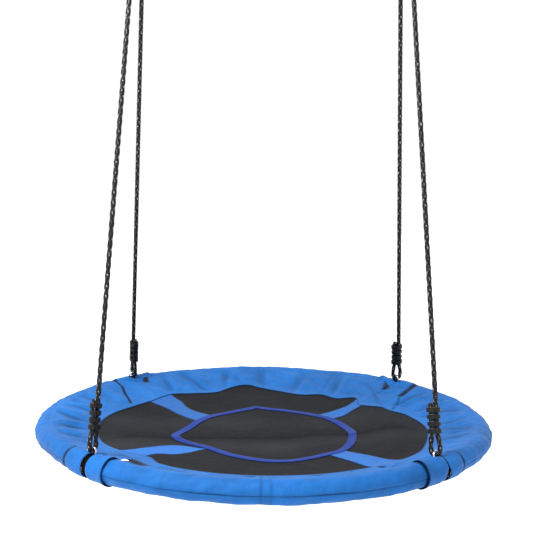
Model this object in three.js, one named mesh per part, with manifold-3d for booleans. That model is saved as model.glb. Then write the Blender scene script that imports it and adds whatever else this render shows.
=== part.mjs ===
// Saucer nest swing: a padded steel ring with a fabric seat, hung on four ropes.
// Units are millimetres, +Z is up, and X runs from the left ropes to the right ones.
// The origin is midway between the two points where the snap hooks hang on a beam.
import * as THREE from 'three';
import { mergeVertices } from 'three/addons/utils/BufferGeometryUtils.js';
import Module from 'manifold-3d';

const wasm = await Module();
wasm.setup();

// Seat ring
const RING_RADIUS = 484.5;        // centreline of the steel tube
const TUBE_RADIUS = 12.5;         // 25 mm steel tube
const TUBE_WALL = 1.5;
const SPIGOT_DEGREES = 5;         // length of the swaged end that enters the next tube
const FOAM_BORE = 13.3;
const FOAM_RADIUS = 21.2;
const COVER_INNER = 22.2;
const COVER_RADIUS = 23.5;
const FLAP_INNER = 24.4;
const FLAP_RADIUS = 25.8;
const ARC_STEP = 9;               // degrees for each facet of everything that follows the ring
const NEAR = 0.3;                 // degrees: a facet edge this close to an end is left out
const QUARTER = 90;
const HALF_QUARTER = 45;
const COVER_HALF = 42;            // the roll of a cover quarter, degrees each side of its middle
const SKIRT_HALF = 38.4;          // where the skirt leaves the roll for the strap's slot
const FLAP_HALF = 6.2;
const FOAM_HALF = 43.2;
// Seat fabric
const SKIRT_INNER = 366;          // where the blue skirt meets the dark mat
const SKIRT_SLOT = 452;           // outer edge of the skirt where the slot is
const SKIRT_EDGE_Z = -12.5;
const SKIRT_TOP_X = -11;          // the skirt touches the roll here, from the tube's centre
const SKIRT_TOP_Z = 20.7;
const FABRIC = 2.4;
const TAPE_INNER = 205;
const TAPE_OUTER = 225;
const TAPE_Z = -24.5;             // top of the mat under the tape's outer edge
const DISH_Z = -27;               // top of the mat at its middle
const TRIM = 1.2;                 // thickness of tape and bands
const BAND_HALF = 5.85;           // a diagonal band, degrees each side of its middle
const GAP = 0.3;
// Attachment: a webbing loop holds a steel ring, and the rope turns round that ring
const WIRE = 2.1;
const O_RING = 10.4;              // centreline radius
const O_RING_SEAT = 15;           // the ring's lowest point above the tube's centre
const STRAP_LEAN = 14;            // degrees towards the middle of the seat
const WEBBING = 11;
const WEBBING_THICK = 1.4;
const WEBBING_APEX = 5.2;
const WEBBING_SLACK = 0.9;        // round the tube, which bends a little across the webbing
// Ropes
const ROPE = 5;                   // radius
const STRAND = 5.3;               // half the distance between the two strands in a clamp
const ROPE_SIDES = 8;
const LOW_TURN_DROP = 8.8;        // rope centreline under the steel ring's wire
const RIGHT_SLACK = 1.1;          // the right loops hang this far outwards on their rings
// Top: two steel rings, each on a snap hook
const TOP_X = 271;
const TOP_Z = 1392;               // above the middle of the seat's tube
const TOP_RING = 27;
const TOP_WIRE = 4;
const EYE_DEGREES = 17;           // how far from the ring's lowest point each rope sits
const BAR = 4;                    // radius of the snap hook's bar
const HOOK_HALF = 14;             // half its width between bar centres
const HOOK_LONG = 70;             // its length between bar centres
const HOOK_PIN_Z = 20.5;
const HOOK_NOSE_Z = 52;
const HOOK_Z = TOP_Z + TOP_RING - TOP_WIRE - BAR - 0.5;
const HANG_Z = HOOK_Z + HOOK_LONG - BAR;

const SIDES = [['left', -1], ['right', 1]];
const ENDS = [['front', -1], ['back', 1]];
// Azimuth of each rope loop's own plane, in degrees
const LOOP_AZIMUTH = { left_front: 56, left_back: 120, right_front: -30, right_back: 30 };

const COLOURS = {
  cover: [0x3f8fe6, 0.75, 0], flap: [0x3580d6, 0.75, 0], band: [0x4a93e0, 0.75, 0],
  tape: [0x2a47a8, 0.7, 0], mat: [0x44464c, 0.85, 0], steel: [0xc9ccd0, 0.3, 1],
  tube: [0x8f9499, 0.45, 1], foam: [0xd8d8d4, 0.95, 0], webbing: [0x121214, 0.8, 0],
  rope: [0x17181a, 0.8, 0], plastic: [0x1b1c1e, 0.5, 0],
};

const radians = THREE.MathUtils.degToRad;
const v2 = (x, y) => new THREE.Vector2(x, y);
const v3 = (x, y, z) => new THREE.Vector3(x, y, z);

function mesh(name, geometry, look) {
  const [color, roughness, metalness] = COLOURS[look];
  const made = new THREE.Mesh(geometry, new THREE.MeshStandardMaterial({ color, roughness, metalness }));
  made.name = name;
  return made;
}

// ---- solids -------------------------------------------------------------

function bare(geometry) {
  geometry.deleteAttribute('normal');
  geometry.deleteAttribute('uv');
  return mergeVertices(geometry, 1e-3);
}

function solid(geometry) {
  const plain = bare(geometry.clone());
  return new wasm.Manifold(new wasm.Mesh({
    numProp: 3,
    vertProperties: Float32Array.from(plain.attributes.position.array),
    triVerts: Uint32Array.from(plain.index.array),
  }));
}

function fromSolid(body) {
  const { vertProperties, triVerts, numProp } = body.getMesh();
  const positions = [];
  for (let i = 0; i < vertProperties.length; i += numProp) {
    positions.push(vertProperties[i], vertProperties[i + 1], vertProperties[i + 2]);
  }
  const geometry = new THREE.BufferGeometry();
  geometry.setAttribute('position', new THREE.Float32BufferAttribute(positions, 3));
  geometry.setIndex(Array.from(triVerts));
  return geometry;
}

const joined = (...parts) => fromSolid(parts.map(solid).reduce((a, b) => a.add(b)));
const cut = (body, ...tools) => fromSolid(tools.map(solid).reduce((a, b) => a.subtract(b), solid(body)));

function box(x0, x1, y0, y1, z0, z1) {
  const geometry = new THREE.BoxGeometry(x1 - x0, y1 - y0, z1 - z0);
  return geometry.translate((x0 + x1) / 2, (y0 + y1) / 2, (z0 + z1) / 2);
}

function circle(radius, points, x = 0, y = 0) {
  return Array.from({ length: points }, (_, i) => {
    const a = (2 * Math.PI * i) / points;
    return v2(x + radius * Math.cos(a), y + radius * Math.sin(a));
  });
}

function roundBar(radius, length, sides, axis) {
  const geometry = new THREE.CylinderGeometry(radius, radius, length, sides);
  return axis === 'y' ? geometry : geometry.rotateX(Math.PI / 2);
}

// The angles where a piece along the ring has its facets: all pieces share them, so nested ones fit.
function stations(from, to) {
  const inner = [];
  const first = Math.ceil((from + NEAR) / ARC_STEP) * ARC_STEP;
  for (let a = first; a < to - NEAR; a += ARC_STEP) inner.push(a);
  return [to, ...inner.reverse(), from];
}

// An end between two stations lies on the chord that joins them, like its neighbours' facets.
function chordFactor(angle) {
  const middle = (Math.floor(angle / ARC_STEP) + 0.5) * ARC_STEP;
  return Math.cos(radians(ARC_STEP / 2)) / Math.cos(radians(angle - middle));
}

// A section (x outwards from the tube's centreline, y up) carried along the seat ring.
function alongRing(outline, holes, from, to) {
  const shape = new THREE.Shape(outline);
  holes.forEach((hole) => shape.holes.push(new THREE.Path(hole)));
  const angles = stations(from, to);
  const steps = angles.length - 1;
  const geometry = new THREE.ExtrudeGeometry(shape, { depth: steps, steps, bevelEnabled: false });
  const place = geometry.attributes.position;
  for (let i = 0; i < place.count; i += 1) {
    const angle = angles[Math.round(place.getZ(i))];
    const turn = radians(angle);
    const out = (RING_RADIUS + place.getX(i)) * chordFactor(angle);
    place.setXYZ(i, out * Math.cos(turn), out * Math.sin(turn), place.getY(i));
  }
  return bare(geometry);
}

// The bore's flats, not its corners, are at the inner radius, so a round piece fits in it.
const ringTube = (outer, inner, from, to, points, bore) =>
  alongRing(circle(outer, points), [circle(inner / Math.cos(Math.PI / bore), bore)], from, to);

function tubeOn(curve, radius, steps, sides) {
  const section = new THREE.Shape(circle(radius, sides));
  return new THREE.ExtrudeGeometry(section, { extrudePath: curve, steps, bevelEnabled: false });
}

function stadium(width, height, arcPoints) {
  const r = height / 2;
  const points = [];
  for (const side of [1, -1]) {
    for (let i = 0; i <= arcPoints; i += 1) {
      const a = -Math.PI / 2 + (Math.PI * i) / arcPoints;
      points.push(v2(side * (width / 2 - r + r * Math.cos(a)), side * r * Math.sin(a)));
    }
  }
  return points;
}

function plate(outline, hole, height) {
  const shape = new THREE.Shape(outline);
  shape.holes.push(new THREE.Path(hole));
  return new THREE.ExtrudeGeometry(shape, { depth: height, steps: 1, bevelEnabled: false });
}

// ---- seat ---------------------------------------------------------------

function frameTube(from) {
  const to = from + QUARTER;
  const bore = TUBE_RADIUS - TUBE_WALL;
  const spigot = bore - 0.6;
  const spigotBore = spigot - TUBE_WALL;
  return joined(
    ringTube(TUBE_RADIUS, bore, from, to - 0.05, 10, 10),
    ringTube(TUBE_RADIUS, spigotBore, to - 1, to - 0.05, 10, 10),
    ringTube(spigot, spigotBore, to - 1, to + SPIGOT_DEGREES, 10, 10),
  );
}

function foamSleeve(middle) {
  return ringTube(FOAM_RADIUS, FOAM_BORE, middle - FOAM_HALF, middle + FOAM_HALF, 12, 8);
}

// The skirt slopes from the top of the roll to the edge of the mat.
function skirtHeight(radius) {
  const top = RING_RADIUS + SKIRT_TOP_X;
  return SKIRT_EDGE_Z + ((SKIRT_TOP_Z - SKIRT_EDGE_Z) * (radius - SKIRT_INNER)) / (top - SKIRT_INNER);
}

function skirt(outer, middle, half) {
  const x0 = SKIRT_INNER - RING_RADIUS;
  const x1 = outer - RING_RADIUS;
  const z0 = skirtHeight(SKIRT_INNER);
  const z1 = skirtHeight(outer);
  const outline = [v2(x0, z0 - FABRIC), v2(x1, z1 - FABRIC), v2(x1, z1), v2(x0, z0)];
  return alongRing(outline, [], middle - half, middle + half);
}

function coverQuarter(middle) {
  return joined(
    ringTube(COVER_RADIUS, COVER_INNER, middle - COVER_HALF, middle + COVER_HALF, 16, 12),
    skirt(RING_RADIUS + SKIRT_TOP_X, middle, SKIRT_HALF),
    skirt(SKIRT_SLOT, middle, HALF_QUARTER - 0.05),
  );
}

// Geometry that is drawn at the tube's section on the X axis, moved to an attachment.
const toAttachment = (geometry, azimuth) =>
  geometry.translate(RING_RADIUS, 0, 0).rotateZ(radians(azimuth));

function wrapFlap(azimuth) {
  const wrap = ringTube(FLAP_RADIUS, FLAP_INNER, -FLAP_HALF, FLAP_HALF, 16, 16);
  const ringHole = box(-17, 9, -14.5, 14.5, 8, 40).translate(RING_RADIUS, 0, 0);
  const slit = box(0, 40, -4, 4, -14, 30).translate(RING_RADIUS, 0, 0);
  return cut(wrap, ringHole, slit).rotateZ(radians(azimuth));
}

// The webbing passes round the tube and over the steel ring's lowest part.
function webbingOutline(grow) {
  const low = TUBE_RADIUS + WEBBING_SLACK + grow;
  const high = WEBBING_APEX + grow;
  const lean = Math.acos((low - high) / O_RING_SEAT);
  const points = [];
  const arcs = [[0, low, Math.PI / 2 + lean, Math.PI * 2.5 - lean, 12],
    [O_RING_SEAT, high, Math.PI / 2 - lean, Math.PI / 2 + lean, 6]];
  for (const [y, radius, from, to, count] of arcs) {
    for (let i = 0; i <= count; i += 1) {
      const a = from + ((to - from) * i) / count;
      points.push(v2(radius * Math.cos(a), y + radius * Math.sin(a)));
    }
  }
  return points;
}

function webbingLoop(azimuth) {
  const band = plate(webbingOutline(WEBBING_THICK), webbingOutline(0), WEBBING);
  band.translate(0, 0, -WEBBING / 2).rotateX(Math.PI / 2).rotateY(-radians(STRAP_LEAN));
  return toAttachment(bare(band), azimuth);
}

function seatRing(name, azimuth) {
  const twist = LOOP_AZIMUTH[name] - azimuth;
  const ring = new THREE.TorusGeometry(O_RING, WIRE, 6, 18).rotateY(Math.PI / 2);
  ring.rotateZ(radians(twist)).translate(0, 0, O_RING_SEAT + O_RING).rotateY(-radians(STRAP_LEAN));
  return toAttachment(bare(ring), azimuth);
}

function latheRing(points, segments = 40) {
  return bare(new THREE.LatheGeometry(points, segments).rotateX(Math.PI / 2));
}

function mat() {
  const edge = SKIRT_INNER - GAP;
  return latheRing([v2(0, DISH_Z - FABRIC), v2(TAPE_OUTER, TAPE_Z - FABRIC), v2(edge, SKIRT_EDGE_Z - FABRIC),
    v2(edge, SKIRT_EDGE_Z), v2(TAPE_OUTER, TAPE_Z), v2(0, DISH_Z)]);
}

function centreTape() {
  const fall = (DISH_Z - TAPE_Z) * (1 - TAPE_INNER / TAPE_OUTER);
  return latheRing([v2(TAPE_INNER, TAPE_Z + fall + GAP), v2(TAPE_OUTER, TAPE_Z + GAP),
    v2(TAPE_OUTER, TAPE_Z + GAP + TRIM), v2(TAPE_INNER, TAPE_Z + fall + GAP + TRIM),
    v2(TAPE_INNER, TAPE_Z + fall + GAP)]);
}

function diagonalBand(azimuth) {
  const x0 = TAPE_OUTER + GAP - RING_RADIUS;
  const x1 = SKIRT_INNER - 2 * GAP - RING_RADIUS;
  const low0 = TAPE_Z + GAP;
  const low1 = SKIRT_EDGE_Z + GAP;
  const outline = [v2(x0, low0), v2(x1, low1), v2(x1, low1 + TRIM), v2(x0, low0 + TRIM)];
  return alongRing(outline, [], azimuth - BAND_HALF, azimuth + BAND_HALF);
}

// ---- ropes --------------------------------------------------------------

// Where the rope's turn sits on the steel ring at the seat, and on the ring at the top.
function ropeEnds(sideSign, endSign) {
  const azimuth = Math.atan2(endSign, sideSign);
  const reach = O_RING_SEAT + 2 * O_RING;
  const out = RING_RADIUS - reach * Math.sin(radians(STRAP_LEAN));
  const low = v3(out * Math.cos(azimuth), out * Math.sin(azimuth), reach * Math.cos(radians(STRAP_LEAN)));
  const high = v3(sideSign * TOP_X, endSign * TOP_RING * Math.sin(radians(EYE_DEGREES)),
    TOP_Z - TOP_RING * Math.cos(radians(EYE_DEGREES)));
  if (sideSign > 0) low.x += RIGHT_SLACK;
  return { low, high };
}

// Half of a turn's route: across the rope's line, and along it from the wire it goes round.
const LOW_TURN = [[STRAND, 62], [STRAND, 48], [STRAND, 34], [7.6, 23], [9.4, 12], [9.3, 2], [6.4, -6]];
const HIGH_TURN = [[STRAND, 58], [STRAND, 46], [STRAND, 34], [7.4, 24], [9.8, 12], [9.9, 1], [6.6, -7.3]];
const LOW_TAIL = 94;              // where the cut end stands above the adjuster
const HIGH_TAIL = 62;
const HIGH_TURN_DROP = 10.2;
const ADJUSTER_LOW = 36;          // distance of the adjuster from the steel ring's wire
const CLAMP_LOW = 36;

function turnRoute(half, drop, tail, origin, across, along) {
  const points = [...half, [0, -drop], ...half.slice().reverse().map(([u, v]) => [-u, v])];
  points.push([-STRAND, tail]);
  return points.map(([u, v]) => origin.clone().addScaledVector(across, u).addScaledVector(along, v));
}

function ropeFrame(name, sideSign, endSign) {
  const { low, high } = ropeEnds(sideSign, endSign);
  const along = high.clone().sub(low).normalize();
  const flat = v3(Math.cos(radians(LOOP_AZIMUTH[name])), Math.sin(radians(LOOP_AZIMUTH[name])), 0);
  const square = (vector) => vector.addScaledVector(along, -vector.dot(along)).normalize();
  return { low, high, along, lowAcross: square(flat), highAcross: square(v3(1, 0, 0)) };
}

function turn(route, steps) {
  return tubeOn(new THREE.CatmullRomCurve3(route, false, 'centripetal'), ROPE, steps, ROPE_SIDES);
}

function clampMatrix(origin, across, along, offset) {
  const third = along.clone().cross(across);
  return new THREE.Matrix4().makeBasis(across, third, along)
    .setPosition(origin.clone().addScaledVector(along, offset));
}

function adjuster() {
  const rib = 5.2;
  const pitch = 15.6;
  const parts = [];
  for (let i = 0; i < 4; i += 1) {
    parts.push(plate(stadium(29, 19, 3), stadium(21.8, 11.2, 4), rib).translate(0, 0, i * pitch));
  }
  for (const side of [-1, 1]) {
    const y = side * 7.4;
    parts.push(box(-4, 4, y - 1.5, y + 1.5, 0.4, 3 * pitch + rib - 0.4));
  }
  return joined(...parts);
}

const clamp = () => plate(stadium(27.4, 16, 3), stadium(21.8, 11.2, 4), 20);

function ropeSet(side, sideSign, end, endSign) {
  const name = `${side}_${end}`;
  const { low, high, along, lowAcross, highAcross } = ropeFrame(name, sideSign, endSign);
  const down = along.clone().negate();
  const start = low.clone().addScaledVector(lowAcross, STRAND).addScaledVector(along, LOW_TURN[0][1] + GAP);
  const stop = high.clone().addScaledVector(highAcross, STRAND).addScaledVector(down, HIGH_TURN[0][1] + GAP);
  const lowRoute = turnRoute(LOW_TURN, LOW_TURN_DROP, LOW_TAIL, low, lowAcross, along);
  const highRoute = turnRoute(HIGH_TURN, HIGH_TURN_DROP, HIGH_TAIL, high, highAcross, down);
  const lowClamp = adjuster().applyMatrix4(clampMatrix(low, lowAcross, along, ADJUSTER_LOW));
  const highClamp = clamp().applyMatrix4(clampMatrix(high, highAcross, down, CLAMP_LOW));
  return [
    mesh(`rope_${name}`, tubeOn(new THREE.LineCurve3(start, stop), ROPE, 20, ROPE_SIDES), 'rope'),
    mesh(`rope_turn_low_${name}`, turn(lowRoute, 22), 'rope'),
    mesh(`rope_turn_top_${name}`, turn(highRoute, 18), 'rope'),
    mesh(`adjuster_${name}`, bare(lowClamp), 'plastic'),
    mesh(`rope_clamp_${name}`, bare(highClamp), 'plastic'),
  ];
}

// ---- snap hooks, drawn in their own XZ plane with the lower bar's centre at the origin ----

function hookPath() {
  const path = new THREE.CurvePath();
  const arc = (z, from, to) => {
    const points = [];
    for (let i = 0; i <= 8; i += 1) {
      const a = from + ((to - from) * i) / 8;
      points.push(v3(HOOK_HALF * Math.cos(a), 0, z + HOOK_HALF * Math.sin(a)));
    }
    return points;
  };
  const points = [v3(HOOK_HALF, 0, HOOK_PIN_Z + 3.5), ...arc(HOOK_HALF, 0, -Math.PI),
    ...arc(HOOK_LONG - HOOK_HALF, Math.PI, 0), v3(HOOK_HALF, 0, HOOK_NOSE_Z)];
  for (let i = 1; i < points.length; i += 1) path.add(new THREE.LineCurve3(points[i - 1], points[i]));
  return path;
}

function hookBody() {
  const bar = tubeOn(hookPath(), BAR, 30, 8);
  const pinZ = HOOK_PIN_Z;
  const cheek = (y0, y1) => box(HOOK_HALF - 8, HOOK_HALF + 8, y0, y1, pinZ - 4.5, pinZ + 6);
  const hole = roundBar(1.5, 20, 10, 'y').translate(HOOK_HALF, 0, pinZ);
  return cut(bar, cheek(1.5, 9), cheek(-9, -1.5), hole);
}

function hookGate() {
  const length = HOOK_NOSE_Z - 0.5 - HOOK_PIN_Z;
  const bar = roundBar(3.4, length, 10, 'z').translate(HOOK_HALF, 0, HOOK_PIN_Z + length / 2);
  const knuckle = roundBar(3.9, 6.8, 12, 'y').translate(HOOK_HALF, 0, HOOK_PIN_Z);
  const slot = box(HOOK_HALF - 8, HOOK_HALF + 8, -1.8, 1.8, HOOK_PIN_Z - 8, HOOK_PIN_Z + 4.8);
  const hole = roundBar(1.5, 20, 10, 'y').translate(HOOK_HALF, 0, HOOK_PIN_Z);
  return cut(joined(bar, knuckle), slot, hole);
}

const hookPin = () => roundBar(1.2, 8, 10, 'y').translate(HOOK_HALF, 0, HOOK_PIN_Z);

function snapHook(side, sideSign) {
  const group = new THREE.Group();
  group.add(mesh(`snap_hook_${side}`, hookBody(), 'steel'));
  group.add(mesh(`hook_gate_${side}`, hookGate(), 'steel'));
  group.add(mesh(`gate_pin_${side}`, bare(hookPin()), 'steel'));
  group.position.set(sideSign * TOP_X, 0, HOOK_Z);
  group.rotation.z = sideSign < 0 ? Math.PI : 0;
  return group;
}

function topRing(side, sideSign) {
  const ring = mesh(`top_ring_${side}`, bare(new THREE.TorusGeometry(TOP_RING, TOP_WIRE, 8, 24)), 'steel');
  ring.rotation.y = Math.PI / 2;
  ring.position.set(sideSign * TOP_X, 0, TOP_Z);
  return ring;
}

// ---- assembly -----------------------------------------------------------

const swing = new THREE.Group();
swing.position.z = -HANG_Z;

const QUARTERS = [['right', 0], ['back', 90], ['left', 180], ['front', 270]];
for (const [name, middle] of QUARTERS) {
  swing.add(mesh(`frame_tube_${name}`, frameTube(middle), 'tube'));
  swing.add(mesh(`foam_sleeve_${name}`, foamSleeve(middle), 'foam'));
  swing.add(mesh(`cover_${name}`, coverQuarter(middle), 'cover'));
}
for (const [side, sideSign] of SIDES) {
  for (const [end, endSign] of ENDS) {
    const name = `${side}_${end}`;
    const azimuth = THREE.MathUtils.radToDeg(Math.atan2(endSign, sideSign));
    swing.add(mesh(`wrap_flap_${name}`, wrapFlap(azimuth), 'flap'));
    swing.add(mesh(`webbing_loop_${name}`, webbingLoop(azimuth), 'webbing'));
    swing.add(mesh(`seat_ring_${name}`, seatRing(name, azimuth), 'steel'));
    swing.add(mesh(`diagonal_band_${name}`, diagonalBand(azimuth), 'band'));
    swing.add(...ropeSet(side, sideSign, end, endSign));
  }
  swing.add(topRing(side, sideSign), snapHook(side, sideSign));
}
swing.add(mesh('seat_mat', mat(), 'mat'), mesh('centre_tape', centreTape(), 'tape'));

export default swing;
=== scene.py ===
"""Looks of the saucer nest swing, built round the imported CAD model. Metres, in the row frame."""

import math

import bmesh
import bpy
import numpy as np
from mathutils import Matrix, Vector


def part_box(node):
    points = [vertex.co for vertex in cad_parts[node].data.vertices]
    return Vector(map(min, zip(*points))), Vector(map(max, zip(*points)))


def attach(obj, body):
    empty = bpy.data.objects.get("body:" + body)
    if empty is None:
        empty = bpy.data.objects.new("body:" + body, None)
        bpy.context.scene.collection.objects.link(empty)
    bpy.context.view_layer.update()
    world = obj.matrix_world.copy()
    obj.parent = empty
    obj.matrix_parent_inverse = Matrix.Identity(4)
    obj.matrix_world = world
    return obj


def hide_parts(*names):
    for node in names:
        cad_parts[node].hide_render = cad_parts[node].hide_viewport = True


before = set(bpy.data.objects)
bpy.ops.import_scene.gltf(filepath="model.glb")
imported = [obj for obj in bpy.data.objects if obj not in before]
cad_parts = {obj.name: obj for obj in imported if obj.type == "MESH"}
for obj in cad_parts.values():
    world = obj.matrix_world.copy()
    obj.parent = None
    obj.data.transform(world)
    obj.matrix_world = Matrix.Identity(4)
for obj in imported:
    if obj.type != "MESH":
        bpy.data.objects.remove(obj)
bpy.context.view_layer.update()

MM = 0.001
SIDES = (("left", -1), ("right", 1))
ENDS = (("front", -1), ("back", 1))
QUARTERS = {"right": 0, "back": 90, "left": 180, "front": -90}
HALF_QUARTER = 45
CORNERS = [(side, sx, end, sy) for side, sx in SIDES for end, sy in ENDS]

# ---- places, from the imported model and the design's driving sizes ----

TUBE = 12.5 * MM  # radius of the seat's steel tube
FOAM = 20.4 * MM  # radius of the foam round it
ROLL = 22.8 * MM  # radius of the covered roll
FLAP = 25.4 * MM  # radius of the flaps round the roll
tube_low, tube_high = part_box("frame_tube_right")
SEAT_Z = (tube_low.z + tube_high.z) / 2
RING = tube_high.x - TUBE  # radius of the seat, to the tube's centreline
TANGENT = math.radians(107.2)  # where the skirt leaves the roll, round the tube's section
FOAM_END = 43.2  # degrees from a quarter's middle to the end of its foam
ROLL_END = 42  # the same for its roll
SKIRT_JOIN_END = {"right": 38.4, "back": 38.4, "left": 38.4, "front": 38.2}
SKIRT_LIFT = 1.5 * MM  # the skirt's edge over the mat
SKIRT_DROP = {"front": 3.5 * MM}  # how far the middle of a skirt hangs down
THICK = {"cover": 1.1 * MM, "flap": 1.2 * MM, "mat": 1.0 * MM, "tape": 0.9 * MM, "band": 0.8 * MM}
COVER_GAP = 0.06  # degrees from a quarter's end to the end of its cloth
SKIRT_ROWS, ROLL_ROWS, COVER_COLUMNS = 44, 64, 250
LOOSE_FOLD = 7 * MM  # a fold of the skirt beside the left front flap
ROPE_ROOM = 8 * MM  # how far the skirt dips for the ropes at the corners
MAT_TUCK = 13 * MM  # the mat goes this far under the skirt
TAPE_WIDTH = 20 * MM

# Flaps and straps, along the ring from the corner they are made for
FLAP_HALF = 53 * MM
FLAP_LONG = {("left_front", 1): 66 * MM, ("left_front", -1): 49 * MM, ("right_front", -1): 57 * MM}
SLIT_SHIFT = {"left_front": 13 * MM, "right_front": 3 * MM}
# A flap's slit: half width in mm on its inner side, the angle round the tube where that starts
# (0 is outwards, 90 is up), and half width outside it
SLITS = {"left_front": (8.5, 80, 8.5), "right_front": (2.2, 20, 7.5),
         "left_back": (2.0, 80, 2.0), "right_back": (1.0, 60, 2.4)}
RING_HOLE = 13.0  # half width in mm of the hole for the steel ring
STRAP_SHIFT = {"left_front": 12 * MM, "right_front": 7 * MM}
STRAP_HALF = 9 * MM
STRAP_RADIUS, STRAP_THICK, STRAP_TOP = 18.6, 1.5, 19.2  # in mm, round the tube's centre

# Steel rings and ropes
WIRE = 2.1 * MM
O_RING = 10.4 * MM  # radius of the wire's centreline
O_RING_SEAT = 15 * MM  # the ring's lowest point over the tube's centre
LEAN = math.radians(14)  # towards the middle of the seat
ROPE = 5 * MM
ROPE_SIDES = 28
BRAID_STRANDS = 4  # in each direction
BRAID_LAY = 84 * MM  # length of one strand's full turn
STRAND = 5.3  # half the distance between the strands in a clip, in mm
RIGHT_SLACK = 1.1 * MM  # the right loops hang this far outwards on their rings
ring_low, ring_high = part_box("top_ring_left")
TOP_X = -(ring_low.x + ring_high.x) / 2
TOP_Z = (ring_low.z + ring_high.z) / 2
TOP_RING = 27 * MM
TOP_WIRE = 4 * MM
EYE = math.radians(17)  # how far from the top ring's lowest point each rope sits
# Degrees round the upright of the plane in which each rope's lower turn lies
LOOP_AZIMUTH = {"left_front": 60, "left_back": 120, "right_front": -30, "right_back": 16}
# Half of a turn's route in mm: across the rope's line, and along it from the wire it goes round
LOW_TURN = [(STRAND, 62), (STRAND, 48), (STRAND, 34), (7.6, 23), (9.4, 12), (9.3, 2), (6.4, -6)]
HIGH_TURN = [(STRAND, 58), (STRAND, 46), (STRAND, 34), (7.4, 24), (9.8, 12), (9.9, 1), (6.6, -7.3)]
LOW_TURN_DROP, HIGH_TURN_DROP = 8.8, 10.2
LOW_TAIL, HIGH_TAIL = 94, 62
ROPE_STEP = 1.6 * MM
# Adjusters and clips, in mm from their lowest rib: how far along the rope, holes and ribs
ADJUSTER_LOW = CLAMP_LOW = 36
ADJUSTER_HOLE, CLIP_HOLE = (21.6, 11.2), (21.8, 11.2)
RIBS, RIB, RIB_PITCH = 4, 5.2, 13.9
END_RIB, MIDDLE_RIB = (29, 19, 2.0), (27.6, 18, 1.3)  # width, depth, extra height at each face
RIB_SHOULDER = 8.6
CLIP_RIB, CLIP_GROOVE = (27.4, 16), (26, 14.8)  # width and depth
CLIP_TOPS = (5, 7.5, 12.5, 15, 20)  # of its ribs and grooves in turn
BEVEL = 0.6 * MM

# Snap hooks, in their own plane from the lower bar's centre
BAR = 4 * MM
HOOK_HALF = 14 * MM  # half its width, between the bar's centres
HOOK_LONG = 70 * MM
HOOK_PIN = 20.5 * MM  # the gate's pin
HOOK_START = HOOK_PIN - 4.2 * MM  # the end of the bar that holds the pin
HOOK_NOSE = 52 * MM
HOOK_Z = TOP_Z + TOP_RING - TOP_WIRE - BAR - 0.5 * MM
GATE = 3.5 * MM  # radius of the gate's bar
GATE_LOW, GATE_HIGH = HOOK_PIN - 3.3 * MM, HOOK_NOSE - 0.6 * MM
# A cheek of the fork, in mm: out from the hook's plane, half width, under and over the pin
CHEEK, CHEEK_HALF, CHEEK_LOW, CHEEK_HIGH = (3.8, 5.0), 3.4, 8, 3.5

# Outlines of the sewn seat in plan: degrees and millimetres round the seat's middle
SKIRT_EDGE = [(-180, 371), (-165, 374), (-150, 374), (-141, 352), (-134, 338), (-125, 362),
              (-110, 370), (-70, 374), (-60, 386), (-52, 393), (-43, 388), (-36, 388), (-22, 373),
              (0, 364), (12, 360), (21, 354), (28, 341), (34, 341), (39, 326), (43, 318),
              (51, 358), (57, 335), (66, 347), (73, 331), (83, 344), (92, 366), (96, 380),
              (104, 369), (110, 347), (120, 353), (129, 368), (142, 356), (151, 356), (161, 364),
              (180, 371)]
TAPE_EDGE = [(-21, 219), (-80, 182), (-135, 134), (-172, 60), (-204, -76), (-127, -140),
             (-66, -200), (42, -246), (142, -185), (178, -150), (208, -40), (199, 49),
             (157, 128), (62, 192)]
BAND_EDGES = {
    "left_back": ([(-127, 144), (-134, 149), (-184, 192), (-207, 242), (-248, 306)],
                  [(-154, 85), (-161, 90), (-202, 133), (-242, 181), (-300, 236)]),
    "left_front": ([(-120, -136), (-127, -139), (-182, -123), (-213, -132), (-263, -172), (-335, -222)],
                   [(-125, -141), (-132, -146), (-164, -185), (-188, -205), (-222, -211), (-262, -262)]),
    "right_front": ([(164, -145), (171, -151), (202, -179), (239, -216), (305, -279)],
                    [(134, -182), (141, -189), (170, -233), (200, -282), (232, -352)]),
    "right_back": ([(126, 148), (133, 153), (177, 190), (207, 221), (243, 296)],
                   [(158, 111), (165, 117), (192, 141), (212, 173), (246, 222)]),
}
# The cloth's height in mm along a radius, and the fold that crosses the mat
HEIGHT = [(0, -27), (120, -26.5), (225, -24.5), (300, -18.2), (366, -12.5), (420, 4.2), (473.5, 20.7)]
FOLD = [(-350, -109), (-209, -79), (-64, -63), (35, -69), (112, -39), (191, -21), (277, 0), (368, -20)]
UPRIGHT_FOLD = [(-251, 41), (-77, 13), (60, -4), (219, -20), (300, -24)]
# Puckers of the skirt: degrees, share of the way from its edge to the roll, length in degrees of
# lean, width in degrees, height in mm
PUCKERS = [(-172, .55, 5, 1.6, 2.6), (-160, .60, -4, 1.5, 2.2), (-152, .5, 4, 1.2, 1.8),
           (178, .5, -5, 1.8, 2.4), (168, .55, 4, 1.4, 2.2), (158, .6, -3, 1.5, 1.6),
           (-23, .5, 4, 1.7, 2.0), (-12, .6, -5, 1.6, 2.4), (-3, .5, 3, 1.3, 1.8),
           (8, .55, -4, 1.8, 2.2), (18, .6, 3, 1.3, 2.2), (29, .55, -2, 1.2, 2.0),
           (60, .45, 3, 1.4, 1.8), (74, .5, -3, 1.8, 1.6), (88, .6, 2, 1.6, 1.4),
           (101, .5, -4, 1.6, 2.0), (113, .45, 5, 1.3, 1.8), (124, .5, -3, 1.2, 2.2),
           (-60, .5, 3, 1.5, 1.5), (-90, .5, 2, 1.8, 1.2), (-118, .5, -4, 1.5, 2.0)]
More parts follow.
